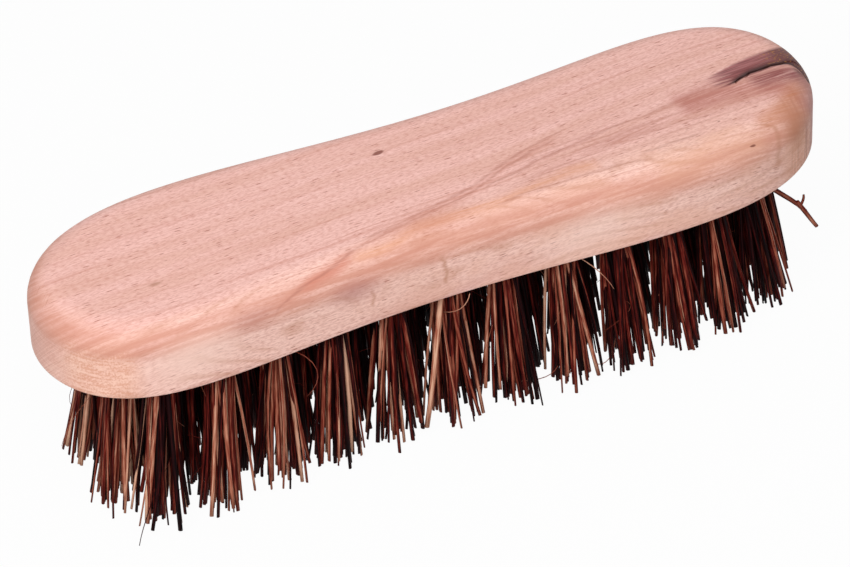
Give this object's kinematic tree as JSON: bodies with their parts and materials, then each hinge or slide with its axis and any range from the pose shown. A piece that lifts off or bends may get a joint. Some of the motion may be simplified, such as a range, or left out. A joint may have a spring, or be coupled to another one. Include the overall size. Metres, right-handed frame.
{
  "type": "scrub brush",
  "caption": "Hand scrubbing brush: a rounded S-form beech block with a flat back, set with splayed tufts of stiff natural fibre trimmed flat.",
  "frame": {"origin": "under the middle of the block, on the plane of the trimmed fibre tips", "axes": "+X along the block, +Y across it, +Z from the fibre tips up to the flat back of the block"},
  "size_m": [0.22, 0.0669, 0.062],
  "materials": {
    "beech": "fine-sanded bare beech, no varnish",
    "palm_fibre": "coarse brown palm fibre, dull to slightly waxy",
    "anchor_wire": "galvanised wire"
  },
  "bodies": {
    "root": {"block": "beech", "anchor_wires": "anchor_wire", "row3_tufts": "palm_fibre", "row1_tuft_01": "palm_fibre", "row1_tuft_02": "palm_fibre", "row1_tuft_03": "palm_fibre", "row1_tuft_04": "palm_fibre", "row1_tuft_05": "palm_fibre", "row1_tuft_06": "palm_fibre", "row1_tuft_07": "palm_fibre", "row1_tuft_08": "palm_fibre", "row1_tuft_09": "palm_fibre", "row1_tuft_10": "palm_fibre", "row1_tuft_11": "palm_fibre", "row1_tuft_12": "palm_fibre", "row2_tuft_01": "palm_fibre", "row2_tuft_02": "palm_fibre", "row2_tuft_03": "palm_fibre", "row2_tuft_04": "palm_fibre", "row2_tuft_05": "palm_fibre", "row2_tuft_06": "palm_fibre", "row2_tuft_07": "palm_fibre", "row2_tuft_08": "palm_fibre", "row2_tuft_09": "palm_fibre", "row2_tuft_10": "palm_fibre", "row2_tuft_11": "palm_fibre", "row2_tuft_12": "palm_fibre", "row2_tuft_13": "palm_fibre", "row4_tuft_01": "palm_fibre", "row4_tuft_02": "palm_fibre", "row4_tuft_03": "palm_fibre", "row4_tuft_04": "palm_fibre", "row4_tuft_05": "palm_fibre", "row4_tuft_06": "palm_fibre", "row4_tuft_07": "palm_fibre", "row4_tuft_08": "palm_fibre", "row4_tuft_09": "palm_fibre", "row4_tuft_10": "palm_fibre", "row4_tuft_11": "palm_fibre", "row4_tuft_12": "palm_fibre", "row4_tuft_13": "palm_fibre", "row5_tuft_01": "palm_fibre", "row5_tuft_02": "palm_fibre", "row5_tuft_03": "palm_fibre", "row5_tuft_04": "palm_fibre", "row5_tuft_05": "palm_fibre", "row5_tuft_06": "palm_fibre", "row5_tuft_07": "palm_fibre", "row5_tuft_08": "palm_fibre", "row5_tuft_09": "palm_fibre", "row5_tuft_10": "palm_fibre", "row5_tuft_11": "palm_fibre", "row5_tuft_12": "palm_fibre"}
  },
  "joints": []
}
